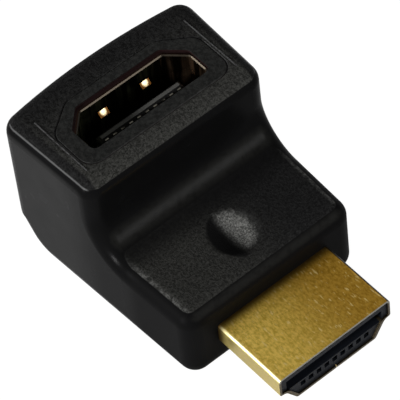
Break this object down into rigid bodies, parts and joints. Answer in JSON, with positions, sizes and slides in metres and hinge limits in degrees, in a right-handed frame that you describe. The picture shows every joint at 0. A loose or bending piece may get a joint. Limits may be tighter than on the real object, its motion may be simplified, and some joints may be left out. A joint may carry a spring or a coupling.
{
  "type": "right angle video adapter",
  "caption": "Right angle adapter block with a flat keyed male video plug on its low arm and a matching keyed female socket opening at the top of its tall arm.",
  "frame": {"origin": "on the flat underside, straight below the middle of the socket", "axes": "+X along the male plug, out of its tip; +Z out of the female socket's mouth; Y across the width, with Y = 0 the plane of symmetry"},
  "size_m": [0.0356, 0.023, 0.0183],
  "materials": {
    "jacket_plastic": "black, fine spark-eroded texture on the top and smooth satin on the sides",
    "core_plastic": "black, smooth satin",
    "board_laminate": "green solder mask",
    "gold_plated_sheet": "gold flash plating on steel sheet, satin, finely scratched",
    "contact_gold": "gold plating, bright",
    "plug_block_plastic": "dark grey, satin",
    "tongue_plastic": "black, satin"
  },
  "bodies": {
    "root": {"jacket": "jacket_plastic", "core": "core_plastic", "circuit_board": "board_laminate", "plug_shell": "gold_plated_sheet", "socket_shell": "gold_plated_sheet", "plug_insulator": "plug_block_plastic", "socket_insulator": "tongue_plastic", "plug_contact_upper_01": "contact_gold", "plug_contact_upper_02": "contact_gold", "plug_contact_upper_03": "contact_gold", "plug_contact_upper_04": "contact_gold", "plug_contact_upper_05": "contact_gold", "plug_contact_upper_06": "contact_gold", "plug_contact_upper_07": "contact_gold", "plug_contact_upper_08": "contact_gold", "plug_contact_upper_09": "contact_gold", "plug_contact_upper_10": "contact_gold", "plug_contact_lower_01": "contact_gold", "plug_contact_lower_02": "contact_gold", "plug_contact_lower_03": "contact_gold", "plug_contact_lower_04": "contact_gold", "plug_contact_lower_05": "contact_gold", "plug_contact_lower_06": "contact_gold", "plug_contact_lower_07": "contact_gold", "plug_contact_lower_08": "contact_gold", "plug_contact_lower_09": "contact_gold", "socket_contact_front_01": "contact_gold", "socket_contact_front_02": "contact_gold", "socket_contact_front_03": "contact_gold", "socket_contact_front_04": "contact_gold", "socket_contact_front_05": "contact_gold", "socket_contact_front_06": "contact_gold", "socket_contact_front_07": "contact_gold", "socket_contact_front_08": "contact_gold", "socket_contact_front_09": "contact_gold", "socket_contact_front_10": "contact_gold", "socket_contact_rear_01": "contact_gold", "socket_contact_rear_02": "contact_gold", "socket_contact_rear_03": "contact_gold", "socket_contact_rear_04": "contact_gold", "socket_contact_rear_05": "contact_gold", "socket_contact_rear_06": "contact_gold", "socket_contact_rear_07": "contact_gold", "socket_contact_rear_08": "contact_gold", "socket_contact_rear_09": "contact_gold"}
  },
  "joints": []
}
